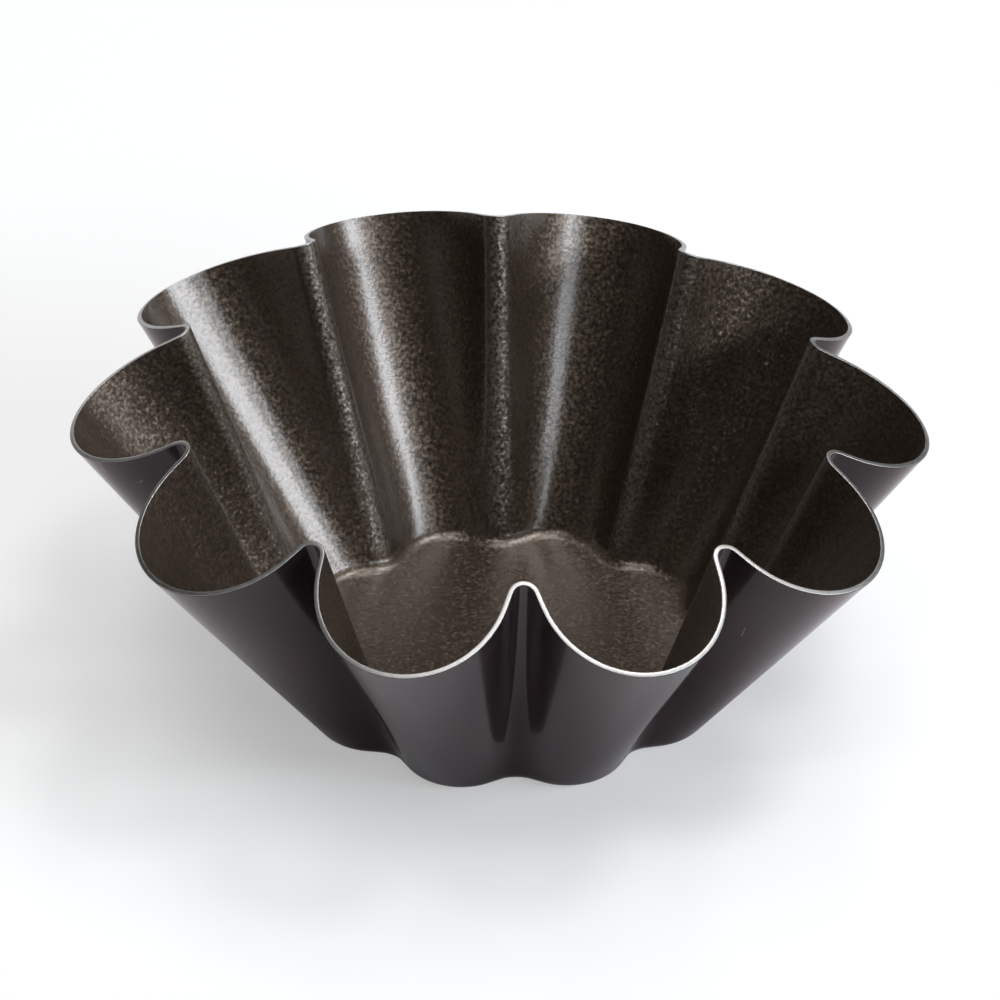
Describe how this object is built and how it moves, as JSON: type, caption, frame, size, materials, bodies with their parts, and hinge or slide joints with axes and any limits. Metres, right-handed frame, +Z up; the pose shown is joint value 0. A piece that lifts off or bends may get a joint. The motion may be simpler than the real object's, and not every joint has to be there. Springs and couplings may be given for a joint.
{
  "type": "brioche mould",
  "caption": "Fluted brioche mould pressed from one coated steel sheet: flared lobed wall, flat base, grained non-stick inside, smooth dark lacquer outside, bare cut rim.",
  "frame": {"origin": "centre of the base's underside, where the axis of the pressing die meets the surface that the mould stands on", "axes": "+Z up out of the mouth, -Y towards the viewer with a fold between two lobes on the -Y axis, +X to the viewer's right with a lobe on it"},
  "size_m": [0.1, 0.0967, 0.0404],
  "materials": {
    "outer_lacquer": "smooth dark grey-brown baked lacquer, satin to glossy",
    "bare_steel": "bright sheared edge of the steel sheet, bare",
    "nonstick_lining": "fine-grained dark brown fluoropolymer non-stick coat with a satin sheen"
  },
  "bodies": {
    "root": {"outer_lacquer": "outer_lacquer", "steel_sheet": "bare_steel", "nonstick_lining": "nonstick_lining"}
  },
  "joints": []
}
